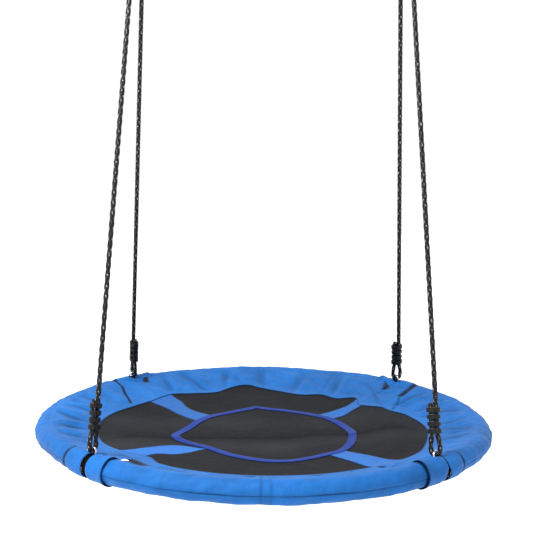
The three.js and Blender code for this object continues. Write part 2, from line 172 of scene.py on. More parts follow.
# How far the loaded frame stands from a flat circle: degrees, mm outwards, mm upwards
FRAME_BEND = [(-180, 2, -4), (-165, 0, -4), (-150, -3, 1), (-135, 0, 0), (-118, 0, -2),
              (-90, 0, -3), (-58, 0, -2), (-45, 0, 0), (-28, -2, -2), (-10, -2, -7), (7, -2, -7),
              (25, -2, -7), (45, 0, -5), (60, 0, -5), (90, 0, -4), (118, 0, -4), (135, 0, -3),
              (152, 0, -4), (170, 1, -5), (180, 2, -4)]
# Dark lines across the cover: degrees, darkness. Those at -90.5 and -88.4 are where its panels are
# joined; those at 90.4, 78.2 and 67 are painted shade in creases of the back.
SEAM_AND_CREASE_LINES = [(-90.5, 0.4), (-88.4, 0.26), (90.4, 0.26), (78.2, 0.26), (67, 0.24),
              (118, 0.2), (-62, 0.16), (-112, 0.16), (165, 0.2), (-8, 0.16)]
# Marks painted dark on the skirts: painted shade in slots that are not cut open, and along the stitched
# edges of raised patches a dark line that is partly painted shadow; each also sinks the skirt a little.
# Columns: (degrees, m) along the mark, half width in m, darkness
SHADE_MARKS = [([(142.0, 0.500), (142.2, 0.472), (142.8, 0.449), (146.0, 0.415), (150.2, 0.376)], 0.0042, 1.0),
         ([(130.4, 0.478), (131.6, 0.462), (132.6, 0.450)], 0.0085, 1.0),
         ([(38.0, 0.500), (37.8, 0.470), (37.0, 0.444), (35.9, 0.418)], 0.0085, 1.0),
         ([(35.9, 0.418), (28.4, 0.353)], 0.0032, 0.6),
         ([(48.0, 0.480), (46.4, 0.459), (45.2, 0.436)], 0.0105, 1.0),
         ([(52.9, 0.435), (46.0, 0.398), (36.0, 0.352)], 0.006, 0.22),
         ([(-46.5, 0.452), (-58.0, 0.447)], 0.0028, 0.5),
         ([(-124.4, 0.4540), (-120.6, 0.4570)], 0.0145, 1.0)]
# The slot's open end beside the left front flap: degrees from and to, metres out, half height
OPENING = (-127.2, -124.7, 0.4560, 0.0140)
# Painted shade over each whole diagonal band, so the bands at the back and at the right front come out
# darker
BAND_SHADE = {"left_back": 0.28, "left_front": 0.0, "right_front": 0.1, "right_back": 0.2}

# Camera and studio, placed from the seat's middle
CAMERA_PLACE = (0.001, -2.4642, 0.6621)
CAMERA_LENS, SENSOR = 75.27, 36
CAMERA_PITCH, CAMERA_ROLL = math.radians(82.861), math.radians(0.675)
WORLD_LIGHT = 1.03
FLOOR_DROP, FLOOR_HALF = 0.42, 9
# Lamps: name, place, size and watts
LIGHTS = [("key", (-1.0, -0.9, 1.8), 0.8, 66), ("fill", (2.2, -1.4, 0.6), 2.4, 3),
          ("top", (0.2, 0.9, 1.6), 2.8, 4)]


def smooth(x, knots):
    """A smooth curve through (place, value) pairs, read at x."""
    places, values = np.array(knots, float).T
    slopes = np.gradient(values, places)
    x = np.clip(np.asarray(x, float), places[0], places[-1])
    i = np.clip(np.searchsorted(places, x) - 1, 0, len(places) - 2)
    span = places[i + 1] - places[i]
    t = (x - places[i]) / span
    start = (1 + 2 * t) * (1 - t) ** 2 * values[i] + t * (1 - t) ** 2 * span * slopes[i]
    return start + t * t * (3 - 2 * t) * values[i + 1] + t * t * (t - 1) * span * slopes[i + 1]


def frame_bend(azimuth):
    """Outward and upward shift of the seat's frame, in metres, for azimuths in degrees."""
    azimuth = (np.asarray(azimuth, float) + 180) % 360 - 180
    out = smooth(azimuth, [(a, o) for a, o, _ in FRAME_BEND])
    rise = smooth(azimuth, [(a, u) for a, _, u in FRAME_BEND])
    return out * MM, rise * MM


def on_frame(angle, radius, section):
    """Points round the bent tube, for angles along the ring and round the tube, in radians."""
    spread, rise = frame_bend(np.degrees(angle))
    out = RING + spread + radius * np.cos(section)
    return np.stack([out * np.cos(angle), out * np.sin(angle), rise + radius * np.sin(section)], axis=-1)


def step(x, low, high):
    """0 below low, 1 above high, smooth between."""
    t = np.clip((np.asarray(x, float) - low) / (high - low), 0, 1)
    return t * t * (3 - 2 * t)


def ripple(x, y, seed, wavelength):
    """Smooth seeded unevenness of about -1 to 1 over a surface."""
    draw = np.random.default_rng(seed)
    total = 0
    for _ in range(7):
        angle, phase = draw.uniform(0, 2 * math.pi, 2)
        number = 2 * math.pi / (wavelength * draw.uniform(0.7, 1.5))
        total = total + np.sin(number * (x * math.cos(angle) + y * math.sin(angle)) + phase)
    return total / 3.5


def hump(x, middle, width, power=2):
    """1 at the middle, falling away to 0 on both sides."""
    return np.exp(-((x - middle) / width) ** power)


def crease(distance, front, back):
    """A sharp ridge that falls away at a different rate on each side."""
    return np.where(distance < 0, np.exp(distance / front), np.exp(-distance / back))


def cloth_height(x, y):
    """Height of the seat's cloth over the tube's centre plane, before any layer lies on another."""
    r = np.hypot(x, y)
    z = smooth(r / MM, HEIGHT) * MM
    inside = 1 - step(r, 0.33, 0.375)
    fold = y - smooth(x / MM, FOLD) * MM
    z = z + 5.6 * MM * inside * crease(fold, 0.024, 0.055)
    z = z - 2.2 * MM * inside * hump(fold, 0.085, 0.05)
    upright = x - smooth(y / MM, UPRIGHT_FOLD) * MM
    z = z + 1.7 * MM * inside * crease(upright, 0.03, 0.02) * step(y, -0.3, -0.2)
    return z + 1.5 * MM * ripple(x, y, 11, 0.21) * (1 - step(r, 0.36, 0.44))


# ---- meshes ----

def unit(vector):
    return vector / np.linalg.norm(vector)


def distances(points):
    """How far each point of a line lies along it."""
    return np.concatenate([[0], np.cumsum(np.linalg.norm(np.diff(points, axis=0), axis=1))])


def at_even_steps(curve, count, closed=False):
    """The curve read at evenly spaced places; a closed one without its last point."""
    along = distances(curve)
    places = np.linspace(0, along[-1], count, endpoint=not closed)
    return np.stack([np.interp(places, along, values) for values in curve.T], axis=1)


def tube_faces(rings, sides, closed=False):
    """Quads between closed rings of points; the last ring is joined to the first when closed."""
    faces = []
    for i in range(rings if closed else rings - 1):
        low, high = i * sides, (i + 1) % rings * sides
        for j in range(sides):
            k = (j + 1) % sides
            faces.append([low + j, low + k, high + k, high + j])
    return faces


def make_object(name, points, faces, uvs=None, shade=None):
    mesh = bpy.data.meshes.new(name)
    mesh.from_pydata([tuple(p) for p in points], [], faces)
    mesh.polygons.foreach_set("use_smooth", [True] * len(mesh.polygons))
    if uvs is not None:
        corners = np.empty(len(mesh.loops), np.int32)
        mesh.loops.foreach_get("vertex_index", corners)
        layer = mesh.uv_layers.new(name="UVMap")
        layer.data.foreach_set("uv", np.asarray(uvs, np.float32)[corners].ravel())
    if shade is not None:
        attribute = mesh.attributes.new("shade", "FLOAT", "POINT")
        attribute.data.foreach_set("value", np.asarray(shade, np.float32))
    mesh.update()
    obj = bpy.data.objects.new(name, mesh)
    bpy.context.scene.collection.objects.link(obj)
    return obj


def grid_normals(grid):
    along = np.gradient(grid, axis=1)
    across = np.gradient(grid, axis=0)
    normal = np.cross(along, across)
    return normal / np.maximum(np.linalg.norm(normal, axis=2, keepdims=True), 1e-12)


def sheet_faces(rows, columns, keep, ring):
    """Faces of a closed thin sheet on a grid, with the faces where keep is False left out."""
    count = rows * columns
    wide = columns if ring else columns - 1
    faces, edges = [], {}
    for i in range(rows - 1):
        for j in range(wide):
            if keep is not None and not keep[i, j]:
                continue
            k = (j + 1) % columns
            low, high = i * columns, (i + 1) * columns
            quad = [low + j, low + k, high + k, high + j]
            faces.append(quad)
            faces.append([v + count for v in reversed(quad)])
            for a, b in zip(quad, quad[1:] + quad[:1]):
                edges[(a, b)] = True
    for a, b in edges:
        if (b, a) not in edges:
            faces.append([b, a, a + count, b + count])
    return faces


def sheet(name, grid, thick, shade, keep=None, ring=False):
    """A closed thin sheet whose outer side is the grid of points [row, column]."""
    rows, columns = grid.shape[:2]
    normal = grid_normals(grid)
    if ring:
        wrapped = np.concatenate([grid[:, -1:], grid, grid[:, :1]], axis=1)
        normal = grid_normals(wrapped)[:, 1:-1]
    both = np.concatenate([grid.reshape(-1, 3), (grid - normal * thick).reshape(-1, 3)])
    length = np.linalg.norm(np.diff(grid, axis=1), axis=2)
    u = np.concatenate([np.zeros((rows, 1)), np.cumsum(length, axis=1)], axis=1)
    u -= u[:, columns // 2][:, None]
    height = np.linalg.norm(np.diff(grid, axis=0), axis=2).mean(axis=1)
    v = np.repeat(np.concatenate([[0], np.cumsum(height)])[:, None], columns, axis=1)
    uv = np.stack([u, v], axis=2).reshape(-1, 2)
    faces = sheet_faces(rows, columns, keep, ring)
    used = np.unique(np.concatenate([np.asarray(f) for f in faces]))
    renumber = np.full(len(both), -1)
    renumber[used] = np.arange(len(used))
    faces = [[int(renumber[v]) for v in f] for f in faces]
    return make_object(name, both[used], faces, np.tile(uv, (2, 1))[used],
                       np.tile(shade.ravel(), 2)[used])


def sweep(name, path, section, closed=False, up=(0, 0, 1), scale=None, girth=1, shade=None):
    """A closed solid: the section (x, y pairs) carried along the path without twist.

    scale holds factors for each place on the path; girth is the section's length in the UV map."""
    path = np.asarray(path, float)
    section = np.asarray(section, float)
    count, sides = len(path), len(section)
    if closed:
        tangent = np.roll(path, -1, 0) - np.roll(path, 1, 0)
    else:
        tangent = np.gradient(path, axis=0)
    tangent /= np.linalg.norm(tangent, axis=1, keepdims=True)
    normal = unit(np.cross(tangent[0], up))
    lengths = distances(path)
    if scale is None:
        scale = np.ones((count, 1))
    points, uvs = [], []
    for i in range(count):
        normal = unit(normal - tangent[i] * normal.dot(tangent[i]))
        other = np.cross(tangent[i], normal)
        shape = section * scale[i][:, None]
        points.append(path[i] + shape[:, :1] * normal + shape[:, 1:] * other)
        uvs.append(np.stack([girth * np.arange(sides) / sides, np.full(sides, lengths[i])], axis=1))
    faces = tube_faces(count, sides, closed)
    if not closed:
        faces.append(list(reversed(range(sides))))
        faces.append([(count - 1) * sides + j for j in range(sides)])
    return make_object(name, np.concatenate(points), faces, np.concatenate(uvs), shade)


def circle(radius, sides):
    return [(radius * math.cos(2 * math.pi * i / sides), radius * math.sin(2 * math.pi * i / sides))
            for i in range(sides)]


def bevelled(obj, width, segments=2):
    """Rounds an object's sharp edges and shades its faces flat."""
    modifier = obj.modifiers.new("Bevel", "BEVEL")
    modifier.width = width
    modifier.segments = segments
    modifier.limit_method = "ANGLE"
    modifier.harden_normals = False
    obj.data.polygons.foreach_set("use_smooth", [False] * len(obj.data.polygons))
    return obj


def lift(grid):
    """From heights over the tube's centre plane to the row frame."""
    return grid + np.array([0, 0, SEAT_Z])


def fix_normals(obj):
    mesh = bmesh.new()
    mesh.from_mesh(obj.data)
    bmesh.ops.recalc_face_normals(mesh, faces=mesh.faces)
    mesh.to_mesh(obj.data)
    mesh.free()


def join(first, second):
    """Puts the second mesh into the first object."""
    with bpy.context.temp_override(active_object=first, selected_editable_objects=[first, second]):
        bpy.ops.object.join()
    return first


# ---- materials ----

class Nodes:
    """A short way to build one material's nodes."""

    def __init__(self, name):
        self.material = bpy.data.materials.new(name)
        self.material.use_nodes = True
        self.tree = self.material.node_tree
        self.shader = self.tree.nodes["Principled BSDF"]
        coordinates = self.tree.nodes.new("ShaderNodeTexCoord").outputs
        self.uv, self.place = coordinates["UV"], coordinates["Object"]
        self.shade = self.add("ShaderNodeAttribute", attribute_name="shade").outputs["Fac"]

    def add(self, kind, **values):
        node = self.tree.nodes.new(kind)
        for key, value in values.items():
            if key in node.inputs:
                node.inputs[key].default_value = value
            else:
                setattr(node, key, value)
        return node

    def feed(self, socket, value):
        """Links another node's output to the socket, or sets a number or a colour there."""
        if isinstance(value, bpy.types.NodeSocket):
            self.tree.links.new(value, socket)
        elif isinstance(value, tuple):
            socket.default_value = (*value, 1)
        else:
            socket.default_value = value

    def surface(self, inputs):
        """Feeds the shader's inputs and gives the finished material."""
        for name, value in inputs.items():
            self.feed(self.shader.inputs[name], value)
        return self.material

    def math(self, operation, *values):
        node = self.add("ShaderNodeMath", operation=operation)
        for socket, value in zip(node.inputs, values):
            self.feed(socket, value)
        return node.outputs[0]

    def wave(self, axis, length):
        """A sine wave along one axis of the UV map, which is in metres."""
        split = self.add("ShaderNodeSeparateXYZ")
        self.feed(split.inputs[0], self.uv)
        return self.math("SINE", self.math("MULTIPLY", split.outputs[axis], 2 * math.pi / length))

    def noise(self, vector, scale, detail=3.0, roughness=0.5):
        node = self.add("ShaderNodeTexNoise", Scale=scale, Detail=detail, Roughness=roughness)
        self.feed(node.inputs["Vector"], vector)
        return node.outputs["Fac"]

    def ramp(self, value, *stops):
        """Colours between the stops; a stop is a place and a colour, or a place and a grey."""
        node = self.add("ShaderNodeValToRGB")
        elements = node.color_ramp.elements
        while len(elements) < len(stops):
            elements.new(0.5)
        for element, (place, colour) in zip(elements, stops):
            element.position = place
            element.color = (*colour, 1) if isinstance(colour, tuple) else (colour, colour, colour, 1)
        self.feed(node.inputs["Fac"], value)
        return node.outputs["Color"]

    def mix(self, factor, a, b):
        node = self.add("ShaderNodeMix", data_type="RGBA")
        for index, value in ((0, factor), (6, a), (7, b)):
            self.feed(node.inputs[index], value)
        return node.outputs[2]

    def bump(self, height, strength, distance, after=None):
        node = self.add("ShaderNodeBump", Strength=strength, Distance=distance)
        self.feed(node.inputs["Height"], height)
        if after is not None:
            self.feed(node.inputs["Normal"], after)
        return node.outputs["Normal"]


def brighter(colour, factor):
    return tuple(min(1.0, c * factor) for c in colour)


def woven(name, colour, yarn=0.0006, contrast=0.10, roughness=0.6, sheen=0.05, crumple=0.7,
          gloss=0.1):
    """Coated plain-weave cloth: two sets of yarns, soft crumples and uneven dye, darkened by the mesh's
    shade attribute: dark seams and stitching, and painted shade in folds, hollows, slots and along edges.
    """
    n = Nodes(name)
    weave = n.math("MULTIPLY", n.wave("X", 2 * yarn), n.wave("Y", 2 * yarn))
    broad = n.noise(n.place, 7, 3)
    fine = n.noise(n.place, 55, 4, 0.6)
    uneven = n.math("ADD", n.math("MULTIPLY", broad, 0.65), n.math("MULTIPLY", fine, 0.35))
    dye = n.ramp(uneven, (0.35, brighter(colour, 1 - contrast)), (0.65, brighter(colour, 1 + contrast)))
    yarns = n.math("MULTIPLY_ADD", weave, 0.5, 0.5)
    worked = n.mix(n.math("MULTIPLY", yarns, 0.16), dye, brighter(colour, 0.55))
    folds = n.bump(n.noise(n.place, 20, 4, 0.6), crumple, 0.009)
    small = n.bump(n.noise(n.place, 110, 3, 0.5), crumple * 0.5, 0.0008, folds)
    return n.surface({
        # painted shade: the base colour is mixed towards near black where the shade attribute is high
        "Base Color": n.mix(n.shade, worked, brighter(colour, 0.05)),
        "Roughness": n.ramp(fine, (0.3, roughness - 0.06), (0.7, roughness + 0.08)),
        "Normal": n.bump(weave, 0.25, yarn * 0.25, small),
        "Sheen Weight": sheen,
        "Sheen Roughness": 0.35,
        "Specular IOR Level": gloss,
    })


BLACK_LOW, BLACK_HIGH = (0.002, 0.002, 0.0025), (0.007, 0.007, 0.008)


def webbing_material():
    """Black polyester webbing with ribs across the strap."""
    n = Nodes("black_webbing")
    return n.surface({
        "Base Color": n.ramp(n.noise(n.uv, 900, 2), (0.3, BLACK_LOW), (0.8, BLACK_HIGH)),
        "Roughness": 0.62,
        "Normal": n.bump(n.wave("Y", 0.0016), 0.5, 0.0003),
        "Specular IOR Level": 0.06,
    })


def rope_material():
    """Black braid: painted shade in the grooves between the strands, and painted grey-white highlights on
    the strands' crowns.
    """
    n = Nodes("black_rope")
    # painted shade: darker where the braid's relief, held in the shade attribute, is low
    base = n.ramp(n.shade, (0.25, (0.001, 0.001, 0.0015)), (0.75, (0.005, 0.005, 0.006)),
                  (1.0, (0.014, 0.014, 0.016)))
    # painted highlights: grey-white flecks on the highest parts of the strands
    lit = n.math("MULTIPLY", n.ramp(n.noise(n.place, 260, 2), (0.50, 0), (0.60, 1)),
                 n.ramp(n.shade, (0.72, 0), (0.95, 1)))
    return n.surface({
        "Base Color": n.mix(lit, base, (0.34, 0.34, 0.36)),
        "Roughness": 0.45,
        "Normal": n.bump(n.noise(n.uv, 700, 2), 0.4, 0.0004),
        "Specular IOR Level": 0.22,
    })


def plastic_material():
    """Black moulded plastic: fine grain, rubbed lighter in places."""
    n = Nodes("black_plastic")
    rubbed = n.noise(n.place, 90, 3)
    return n.surface({
        "Base Color": n.ramp(rubbed, (0.4, BLACK_LOW), (0.75, BLACK_HIGH)),
        "Roughness": n.ramp(rubbed, (0.3, 0.3), (0.7, 0.46)),
        "Normal": n.bump(n.noise(n.place, 1500, 2), 0.25, 0.0002),
        "Specular IOR Level": 0.3,
    })


def metal_material(name, colour, roughness, streak):
    """Zinc-plated or galvanised steel with a cloudy finish."""
    n = Nodes(name)
    cloud = n.noise(n.place, streak, 4, 0.6)
    return n.surface({
        "Base Color": n.ramp(cloud, (0.3, brighter(colour, 0.8)), (0.7, brighter(colour, 1.08))),
        "Roughness": n.ramp(cloud, (0.3, roughness), (0.7, roughness + 0.12)),
        "Normal": n.bump(n.noise(n.place, streak * 12, 2), 0.12, 0.0002),
        "Metallic": 1,
    })


def foam_material():
    """Closed-cell foam."""
    n = Nodes("foam")
    cells = n.add("ShaderNodeTexVoronoi", Scale=900)
    n.feed(cells.inputs["Vector"], n.place)
    size = cells.outputs["Distance"]
    return n.surface({
        "Base Color": n.ramp(size, (0.1, (0.62, 0.62, 0.6)), (0.6, (0.8, 0.8, 0.78))),
        "Roughness": 0.9,
        "Normal": n.bump(size, 0.5, 0.0006),
    })


def floor_material():
    n = Nodes("studio_floor")
    return n.surface({
        "Base Color": n.ramp(n.noise(n.place, 3, 2), (0.3, 0.93), (0.7, 0.96)),
        "Roughness": 0.9,
        "Emission Color": (1, 1, 1),
        "Emission Strength": 0.35,
    })


MATERIALS = {
    "cover_fabric": woven("blue_cover_cloth", (0.010, 0.106, 0.35), contrast=0.2, crumple=0.85),
    "band_fabric": woven("blue_band_cloth", (0.016, 0.122, 0.42), contrast=0.05, crumple=0.3),
    "tape_fabric": woven("blue_tape", (0.004, 0.026, 0.20), yarn=0.0009, contrast=0.1, crumple=0.2),
    "mat_fabric": woven("charcoal_mat_cloth", (0.019, 0.0195, 0.023), contrast=0.25, roughness=0.62,
                        sheen=0.0, crumple=0.5, gloss=0.03),
    "webbing": webbing_material(),
    "rope": rope_material(),
    "black_plastic": plastic_material(),
    "zinc_steel": metal_material("zinc_steel", (0.60, 0.61, 0.62), 0.2, 120),
    "hook_steel": metal_material("hook_steel", (0.34, 0.345, 0.355), 0.26, 90),
    "steel_tube": metal_material("galvanised_tube", (0.45, 0.46, 0.48), 0.35, 60),
    "foam": foam_material(),
}


def paint(obj, material):
    obj.data.materials.clear()
    obj.data.materials.append(MATERIALS[material])


def dress(obj, body, slot, *nodes, look=None):
    """Finishes a piece: its material, the body it moves with and the CAD nodes it stands for."""
    paint(obj, look or slot)
    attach(obj, body)
    if nodes:
        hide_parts(*nodes)
    return obj


# ---- camera ----

def make_camera():
    """The fitted view: 2.5 m away, 15 degrees above the seat, with a little roll."""
    data = bpy.data.cameras.new("camera")
    data.sensor_width = SENSOR
    data.lens = CAMERA_LENS
    data.clip_end = 60
    camera = bpy.data.objects.new("camera", data)
    x, y, z = CAMERA_PLACE
    turn = Matrix.Rotation(CAMERA_PITCH, 4, "X") @ Matrix.Rotation(CAMERA_ROLL, 4, "Z")
    camera.matrix_world = Matrix.Translation((x, y, SEAT_Z + z)) @ turn
    bpy.context.scene.collection.objects.link(camera)
    bpy.context.scene.camera = camera


# ---- ropes ----

def rope_frame(name, sx, sy):
    """Where a rope turns round the seat's ring and the top ring, and its directions there."""
    azimuth = math.atan2(sy, sx)
    reach = O_RING_SEAT + 2 * O_RING
    out = RING - reach * math.sin(LEAN)
    low = np.array([out * math.cos(azimuth), out * math.sin(azimuth), SEAT_Z + reach * math.cos(LEAN)])
    high = np.array([sx * TOP_X, sy * TOP_RING * math.sin(EYE), TOP_Z - TOP_RING * math.cos(EYE)])
    if sx > 0:
        low[0] += RIGHT_SLACK
    along = unit(high - low)
    turned = math.radians(LOOP_AZIMUTH[name])
    flat = np.array([math.cos(turned), math.sin(turned), 0])
    low_across = unit(flat - along * flat.dot(along))
    level = np.array([1.0, 0, 0])
    high_across = unit(level - along * level.dot(along))
    return low, high, along, low_across, high_across


def turn_points(half, drop, tail, origin, across, along):
    """A turn's route: its half, the lowest point, the mirrored half and the long strand's start."""
    route = list(half) + [(0, -drop)] + [(-u, v) for u, v in reversed(half)] + [(-STRAND, tail)]
    return [origin + across * u * MM + along * v * MM for u, v in route]


def between(p, q, t, low, high):
    """The point at t on the line that is at p when t is low and at q when t is high."""
    return p * (high - t) / (high - low) + q * (t - low) / (high - low)


def centripetal(points, spacing):
    """A centripetal Catmull-Rom curve through the points, at an even spacing."""
    points = [2 * points[0] - points[1], *points, 2 * points[-1] - points[-2]]
    dense = []
    for p0, p1, p2, p3 in zip(points, points[1:], points[2:], points[3:]):
        t1 = np.linalg.norm(p1 - p0) ** 0.5
        t2 = t1 + np.linalg.norm(p2 - p1) ** 0.5
        t3 = t2 + np.linalg.norm(p3 - p2) ** 0.5
        for t in np.linspace(t1, t2, 24, endpoint=False):
            middle = between(p1, p2, t, t1, t2)
            first = between(between(p0, p1, t, 0, t1), middle, t, 0, t2)
            second = between(middle, between(p2, p3, t, t2, t3), t, t1, t3)
            dense.append(between(first, second, t, t1, t2))
    dense.append(points[-2])
    dense = np.array(dense)
    return at_even_steps(dense, max(2, round(distances(dense)[-1] / spacing) + 1))


def braid_height(turn, length):
    """Relief of a plaited rope, 0 to 1: two families of strands that pass over and under."""
    first = BRAID_STRANDS * turn + BRAID_STRANDS * length / BRAID_LAY
    second = BRAID_STRANDS * turn - BRAID_STRANDS * length / BRAID_LAY
    over = 0.42 * np.sin(math.pi * first) * np.sin(math.pi * second)
    round_one = 1 - (2 * (first % 1) - 1) ** 2
    round_two = 1 - (2 * (second % 1) - 1) ** 2
    return np.clip(np.maximum(0.45 * round_one + over, 0.45 * round_two - over) + 0.1, 0, 1)


def make_rope_mesh(name, path):
    """A braided rope, a little thinner in its turns and at its cut ends."""
    length = distances(path)[:, None]
    relief = braid_height(np.arange(ROPE_SIDES) / ROPE_SIDES, length)
    end = np.minimum(length, length[-1] - length)
    in_turn = step(end, 0.045, 0.06) * (1 - step(end, 0.14, 0.16))
    cut = 0.86 + 0.14 * np.minimum(1, end / 0.004)
    radius = ROPE * (0.80 + 0.30 * relief) * (1 - 0.05 * in_turn) * cut
    # the braid's relief goes into the shade attribute, from which the rope's material paints shade in the
    # grooves and highlights on the crowns
    return sweep(name, path, circle(1, ROPE_SIDES), up=(0.3, 1, 0.1), scale=radius, girth=0.03,
                 shade=relief.ravel())


def frame_matrix(origin, across, along, offset):
    """Axes across, aside and along a rope, with the origin moved along it by the offset in mm."""
    aside = np.cross(along, across)
    return Matrix([[across[i], aside[i], along[i], origin[i] + along[i] * offset * MM] for i in range(3)]
                  + [[0, 0, 0, 1]])


def stadium(width, height, points):
    r = height / 2
    outline = []
    for side in (1, -1):
        for i in range(points + 1):
            a = -math.pi / 2 + math.pi * i / points
            outline.append((side * (width / 2 - r + r * math.cos(a)), side * r * math.sin(a)))
    return outline


def plate(outline, hole, low, high):
    """Points and faces of a plate with a hole; both outlines have the same number of points."""
    rings = ((outline, low), (outline, high), (hole, high), (hole, low))
    points = [(x, y, z) for shape, z in rings for x, y in shape]
    return points, tube_faces(4, len(outline), True)


def block(x0, x1, y0, y1, z0, z1):
    points = [(x, y, z) for z in (z0, z1) for y in (y0, y1) for x in (x0, x1)]
    faces = [[0, 2, 3, 1], [4, 5, 7, 6], [0, 1, 5, 4], [2, 6, 7, 3], [0, 4, 6, 2], [1, 3, 7, 5]]
    return points, faces


def gather(name, parts, matrix):
    """One object from parts in mm."""
    points, faces = [], []
    for part_points, part_faces in parts:
        start = len(points)
        points += part_points
        faces += [[v + start for v in face] for face in part_faces]
    return make_object(name, [matrix @ (Vector(p) * MM) for p in points], faces)


def make_adjuster(name, matrix):
    """Four ribs on two spines, each rib with square shoulders and a raised block on both faces."""
    hole = stadium(*ADJUSTER_HOLE, 6)
    parts = []
    for i in range(RIBS):
        low, high = i * RIB_PITCH, i * RIB_PITCH + RIB
        width, depth, extra = END_RIB if i in (0, RIBS - 1) else MIDDLE_RIB
        outline = [(x, max(-RIB_SHOULDER, min(RIB_SHOULDER, y))) for x, y in stadium(width, depth, 6)]
        parts.append(plate(outline, hole, low - extra, high + extra))
        for face in (-1, 1):
            parts.append(block(-4.6, 4.6, *sorted((face * 7.9, face * 10.4)), low - 2.8, high + 2.8))
    for face in (-1, 1):
        top = (RIBS - 1) * RIB_PITCH + RIB - 0.5
        parts.append(block(-1.3, 1.3, *sorted((face * 6.0, face * 8.2)), 0.5, top))
    return bevelled(gather(name, parts, matrix), BEVEL)


def make_clamp(name, matrix):
    """The clip that holds the rope's end under the top ring, with two pressed grooves."""
    hole = stadium(*CLIP_HOLE, 10)
    parts = []
    low = 0
    for i, high in enumerate(CLIP_TOPS):
        outline = stadium(*(CLIP_GROOVE if i % 2 else CLIP_RIB), 10)
        parts.append(plate(outline, hole, low, high))
        low = high + 0.01
    return bevelled(gather(name, parts, matrix), BEVEL)


def make_ropes():
    for side, sx, end, sy in CORNERS:
        name = f"{side}_{end}"
        body = f"{side}_ropes"
        low, high, along, low_across, high_across = rope_frame(name, sx, sy)
        low_route = turn_points(LOW_TURN, LOW_TURN_DROP, LOW_TAIL, low, low_across, along)
        high_route = turn_points(HIGH_TURN, HIGH_TURN_DROP, HIGH_TAIL, high, high_across, -along)
        path = centripetal(low_route[::-1] + high_route, ROPE_STEP)
        rope = make_rope_mesh(f"swing_rope_{name}", path)
        dress(rope, body, "rope", f"rope_{name}", f"rope_turn_low_{name}", f"rope_turn_top_{name}")
        adjuster = make_adjuster(f"rope_adjuster_{name}",
                                 frame_matrix(low, low_across, along, ADJUSTER_LOW))
        dress(adjuster, body, "black_plastic", f"adjuster_{name}")
        clamp = make_clamp(f"rope_clip_{name}", frame_matrix(high, high_across, -along, CLAMP_LOW))
        dress(clamp, body, "black_plastic", f"rope_clamp_{name}")


# ---- seat ----

def skirt_radius(azimuth):
    """Plan radius of the skirt's edge, in metres, for azimuths in degrees."""
    return smooth((np.asarray(azimuth) + 180) % 360 - 180, SKIRT_EDGE) * MM


def puckers(azimuth, share):
    """Height of the skirt's gathers; share runs from the skirt's edge to the roll."""
    total = 0
    for place, peak, lean, width, height in PUCKERS:
        off = (azimuth - place - lean * (share - peak) + 180) % 360 - 180
        body = hump(off, 0, width) - 0.55 * hump(off, 1.9 * width, 1.3 * width)
        total = total + 2.2 * height * MM * body * hump(share, peak, 0.33)
    return total


def skirt_shade_marks(azimuth, r):
    """Darkness of the marks at places on a skirt: painted shade for uncut slots and for the shadowed
    edges of raised patches.
    """
    turn = np.radians(azimuth)
    x, y = r * np.cos(turn), r * np.sin(turn)
    total = np.zeros(x.shape)
    for points, half, dark in SHADE_MARKS:
        plan = [(reach * math.cos(math.radians(a)), reach * math.sin(math.radians(a)))
                for a, reach in points]
        for (ax, ay), (bx, by) in zip(plan, plan[1:]):
            length = (bx - ax) ** 2 + (by - ay) ** 2
            along = np.clip(((x - ax) * (bx - ax) + (y - ay) * (by - ay)) / length, 0, 1)
            away = np.hypot(x - ax - along * (bx - ax), y - ay - along * (by - ay))
            total = np.maximum(total, dark * hump(away, 0, half, 4))
    return total


def slot_opening(azimuth, reach):
    """True on the small triangle where the slot is open down to the foam."""
    start, end, middle, half = OPENING
    taper = np.clip((end - azimuth) / (end - start), 0, 1) * (azimuth > start)
    return np.abs(reach - middle) < half * taper


def cover_skirt(name, offset, azimuth):
    """A quarter's skirt from its edge to the roll, and the height of its gathers and crumples."""
    spread, rise = frame_bend(azimuth)
    share = np.linspace(0, 1, SKIRT_ROWS)[:, None]
    tangent_r = RING + ROLL * math.cos(TANGENT)
    edge = skirt_radius(azimuth)
    r = edge + (tangent_r + spread - edge) * share
    turn = np.radians(azimuth)
    x, y = r * np.cos(turn), r * np.sin(turn)
    top = ROLL * math.sin(TANGENT) - smooth(tangent_r / MM, HEIGHT) * MM
    z = cloth_height(x, y) + SKIRT_LIFT + (top - SKIRT_LIFT) * share ** 1.6
    gathers = puckers(azimuth, share) * step(share, 0, 0.2) * (1 - step(share, 0.85, 1.0))
    crumples = ripple(x, y, 23, 0.065) * step(share, 0.05, 0.3) * (1 - step(share, 0.8, 1.0))
    z = z + gathers + 2.1 * MM * crumples + rise * share
    z = z - SKIRT_DROP.get(name, 0) * np.sin(math.pi * share) * (1 - (offset / HALF_QUARTER) ** 2)
    z = z - 1.2 * MM * skirt_shade_marks(azimuth, r)
    z = z + LOOSE_FOLD * hump(azimuth, -124, 5.5) * hump(r, 0.440, 0.022)
    from_corner = np.radians(HALF_QUARTER - np.abs(offset)) * RING
    z = z - ROPE_ROOM * step(r, 0.446, 0.466) * hump(from_corner, 0, 0.021, 4)
    return np.stack([x, y, z], axis=2), gathers, crumples


